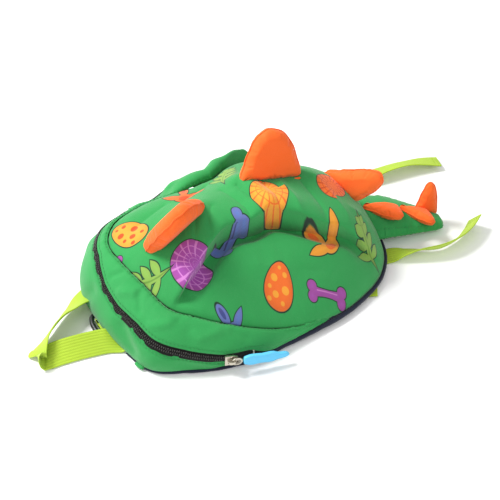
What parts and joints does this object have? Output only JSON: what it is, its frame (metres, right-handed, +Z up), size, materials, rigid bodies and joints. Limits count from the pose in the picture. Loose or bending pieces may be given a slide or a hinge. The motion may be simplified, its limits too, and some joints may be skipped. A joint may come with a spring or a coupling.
{
  "type": "toddler animal backpack",
  "caption": "Soft toddler backpack in the shape of a spiny animal, lying empty on its back: printed front panel, curved zipper, stuffed plates, stuffed spiked tail, haul loop and leash ring.",
  "frame": {"origin": "on the floor under the middle of the whole object's bounding box", "axes": "+X runs from the haul loop (top end) to the tail (bottom end), +Y to the far side of the picture, +Z up out of the printed front panel"},
  "size_m": [0.453, 0.217, 0.132],
  "materials": {
    "printed_cloth": "green polyester with an all-over print, matt",
    "green_cloth": "plain green polyester twill, matt",
    "navy_mesh": "navy spacer mesh, matt",
    "zip_tape": "black woven zipper tape",
    "zip_coil": "black nylon coil",
    "orange_cloth": "orange polyester, stuffed, matt",
    "lime_webbing": "lime ribbed polypropylene webbing",
    "black_plastic": "black moulded acetal",
    "nickel": "warm nickel plated zinc",
    "pull_rubber": "sky blue soft rubber"
  },
  "bodies": {
    "bag": {"front_panel": "printed_cloth", "gusset_inner": "green_cloth", "gusset_outer": "green_cloth", "back_panel": "navy_mesh", "zip_tape": "zip_tape", "zip_coil": "zip_coil", "plate_top": "orange_cloth", "plate_middle": "orange_cloth", "plate_bottom": "orange_cloth", "tail": "green_cloth", "tail_spike_1": "orange_cloth", "tail_spike_2": "orange_cloth", "tail_spike_3": "orange_cloth", "haul_loop": "lime_webbing", "strap_end_far": "lime_webbing", "strap_end_near": "lime_webbing", "anchor_tab_near": "lime_webbing", "anchor_tab_far": "lime_webbing", "leash_tab": "lime_webbing", "shoulder_pad_near": "navy_mesh", "shoulder_pad_far": "navy_mesh", "strap_buckle_near": "black_plastic", "strap_buckle_far": "black_plastic", "leash_ring": "black_plastic", "zip_slider": "nickel"},
    "pull": {"pull_ring": "nickel", "pull_grip": "pull_rubber"}
  },
  "joints": [
    {"name": "zip_pull", "type": "hinge", "parent": "bag", "child": "pull", "pos_m": [-0.07893, -0.09677, 0.01428], "axis": [-0.1195, -0.1416, -0.9827], "range_deg": [0, 150]}
  ]
}
